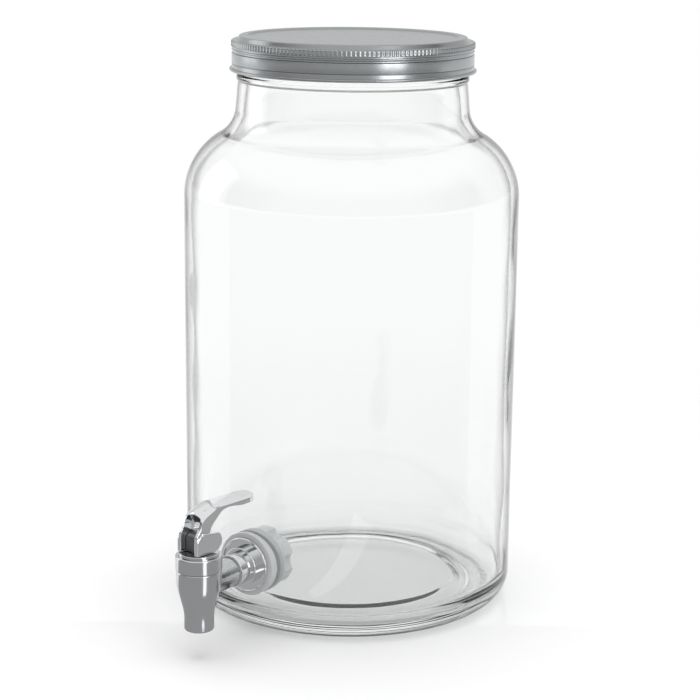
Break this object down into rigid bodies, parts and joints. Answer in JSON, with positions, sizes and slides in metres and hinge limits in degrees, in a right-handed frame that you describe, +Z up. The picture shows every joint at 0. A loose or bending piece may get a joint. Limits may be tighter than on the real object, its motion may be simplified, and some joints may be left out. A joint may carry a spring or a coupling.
{
  "type": "beverage dispenser",
  "caption": "Clear glass jar with a shouldered neck, a steel screw lid and a lever tap through the wall near its base, for serving cold drinks.",
  "frame": {"origin": "on the jar's axis, at the surface it stands on", "axes": "+Z up along the jar's axis; the tap points along -Y; +X completes the right-handed frame"},
  "size_m": [0.18, 0.234, 0.3075],
  "materials": {
    "clear_glass": "clear pressed soda glass, polished",
    "lid_steel": "satin grey tinplate, lightly brushed",
    "lid_compound": "soft pale grey lining compound",
    "satin_metal": "satin chrome plating",
    "polished_chrome": "bright chrome plating",
    "head_metal": "plain satin metal",
    "stem_steel": "turned stainless steel",
    "spring_steel": "bright drawn spring wire",
    "white_acetal": "white moulded acetal",
    "seal_silicone": "translucent soft silicone",
    "frosted_silicone": "frosted translucent silicone",
    "frosted_plastic": "frosted translucent plastic"
  },
  "bodies": {
    "jar": {"glass_jar": "clear_glass", "tap_body": "satin_metal", "bonnet_ring": "polished_chrome", "bonnet_seal": "seal_silicone", "stem_bush": "white_acetal", "stem_seal": "seal_silicone", "return_spring": "spring_steel", "shank_tube": "satin_metal", "shank_seal": "seal_silicone", "seam_ring": "polished_chrome", "flange_sleeve": "polished_chrome", "outer_washer": "frosted_silicone", "inner_washer": "frosted_silicone", "fixing_nut": "frosted_plastic"},
    "lid_lining": {"lid_seal": "lid_compound"},
    "lid": {"lid_shell": "lid_steel"},
    "valve": {"valve_stem": "stem_steel", "seat_plug": "seal_silicone"},
    "head": {"stem_head": "head_metal"},
    "lever": {"lever_handle": "polished_chrome", "lever_pin": "stem_steel"}
  },
  "joints": [
    {"name": "lid_lift", "type": "slide", "parent": "jar", "child": "lid_lining", "axis": [0, 0, 1], "range_m": [0, 0.0201]},
    {"name": "lid_turn", "type": "hinge", "parent": "lid_lining", "child": "lid", "pos_m": [0, 0, 0.289], "axis": [0, 0, 1], "range_deg": [0, 1440]},
    {"name": "stem_lift", "type": "slide", "parent": "jar", "child": "valve", "axis": [0, 0, 1], "range_m": [0, 0.0019], "deforming": ["return_spring"]},
    {"name": "lever_swivel", "type": "hinge", "parent": "valve", "child": "head", "pos_m": [0, -0.132, 0.0629], "axis": [0, 0, 1], "continuous": true},
    {"name": "lever_press", "type": "hinge", "parent": "head", "child": "lever", "pos_m": [0, -0.132, 0.0629], "axis": [-0.9903, 0.1392, 0], "range_deg": [0, 30], "stiffness_Nm_per_rad": 0.0065, "springref_deg": -79.64}
  ],
  "couplings": [
    {"joint": "lid_lift", "follows": "lid_turn", "m_per_rad": 0.00079577},
    {"joint": "stem_lift", "follows": "lever_press", "m_per_rad": 0.0036}
  ]
}
